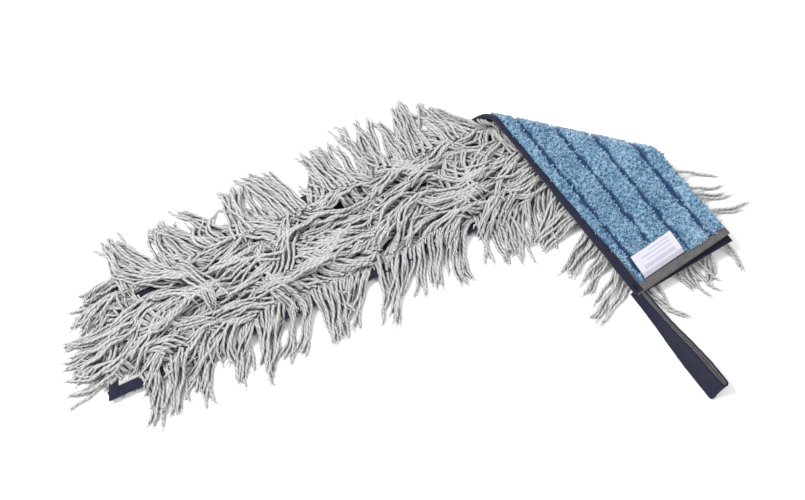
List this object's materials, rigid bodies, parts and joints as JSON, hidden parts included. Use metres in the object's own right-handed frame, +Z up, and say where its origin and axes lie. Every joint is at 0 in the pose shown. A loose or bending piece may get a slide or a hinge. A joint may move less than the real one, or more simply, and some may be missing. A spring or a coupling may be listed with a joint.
{
  "type": "flat mop",
  "caption": "Flat mop cover: microfibre sheet and yarn-fringed backing sewn as a sleeve, open end folded over, with a hanging loop.",
  "frame": {"origin": "on the underside, on the centre line of the sleeve, 300 mm from the front corner of its closed end", "axes": "+X along the sleeve from its closed end to the fold, +Z up out of the yarn side, +Y to the back edge, away from where the flap lies"},
  "size_m": [0.7589, 0.4571, 0.0351],
  "materials": {
    "microfibre_blue": "cut pile in twisted tufts, matt",
    "backing_navy": "plain woven, matt",
    "tape_grey": "ribbed woven tape",
    "tape_navy": "ribbed woven tape, slight sheen",
    "header_tape": "knitted header, stitched",
    "yarn": "twisted yarn, matt",
    "label_white": "satin woven label, blank",
    "thread": "sewing thread"
  },
  "bodies": {
    "main": {"microfibre_main": "microfibre_blue", "microfibre_turn": "microfibre_blue", "backing_main": "backing_navy", "backing_turn": "backing_navy", "grey_tape_front_main": "tape_grey", "grey_tape_front_turn": "tape_grey", "grey_tape_back_main": "tape_grey", "grey_tape_back_turn": "tape_grey", "navy_tape_front_main": "tape_navy", "navy_tape_front_turn": "tape_navy", "navy_tape_back_main": "tape_navy", "navy_tape_back_turn": "tape_navy", "grey_tape_closed_end": "tape_grey", "navy_tape_closed_end": "tape_navy", "header_tapes_main": "header_tape", "header_tapes_turn": "header_tape", "yarn_row_1_main": "yarn", "yarn_row_2_main": "yarn", "yarn_row_3_main": "yarn", "yarn_row_4_main": "yarn", "yarn_row_5_main": "yarn", "yarn_rows_turn": "yarn", "front_fringe_main": "yarn", "back_fringe_main": "yarn", "closed_end_fringe": "yarn"},
    "flap": {"microfibre_flap": "microfibre_blue", "backing_flap": "backing_navy", "grey_tape_front_flap": "tape_grey", "grey_tape_back_flap": "tape_grey", "navy_tape_front_flap": "tape_navy", "navy_tape_back_flap": "tape_navy", "grey_tape_mouth": "tape_grey", "navy_tape_mouth": "tape_navy", "header_tapes_flap": "header_tape", "yarn_row_1_flap": "yarn", "yarn_row_2_flap": "yarn", "yarn_row_3_flap": "yarn", "yarn_row_4_flap": "yarn", "yarn_row_5_flap": "yarn", "front_fringe_flap": "yarn", "back_fringe_flap": "yarn", "mouth_fringe": "yarn", "loop_bar_tack": "thread"},
    "loop": {"loop_navy_tape": "tape_navy", "loop_grey_tape": "tape_grey"},
    "label": {"care_label": "label_white"}
  },
  "joints": [
    {"name": "end_fold", "type": "hinge", "parent": "main", "child": "flap", "pos_m": [0.27154, -0.00889, 0.01793], "axis": [-0.766, 0.6428, 0], "range_deg": [0, 180], "deforming": ["microfibre_turn", "backing_turn", "grey_tape_front_turn", "grey_tape_back_turn", "navy_tape_front_turn", "navy_tape_back_turn", "header_tapes_turn", "yarn_rows_turn"]},
    {"name": "loop_swing", "type": "hinge", "parent": "flap", "child": "loop", "pos_m": [0.2543, -0.2066, 0.01168], "axis": [-0.9848, -0.1736, 0], "range_deg": [0, 80]},
    {"name": "label_flip", "type": "hinge", "parent": "flap", "child": "label", "pos_m": [0.29482, -0.19244, 0.01998], "axis": [0.9827, 0.1151, 0.1452], "range_deg": [0, 120]}
  ]
}
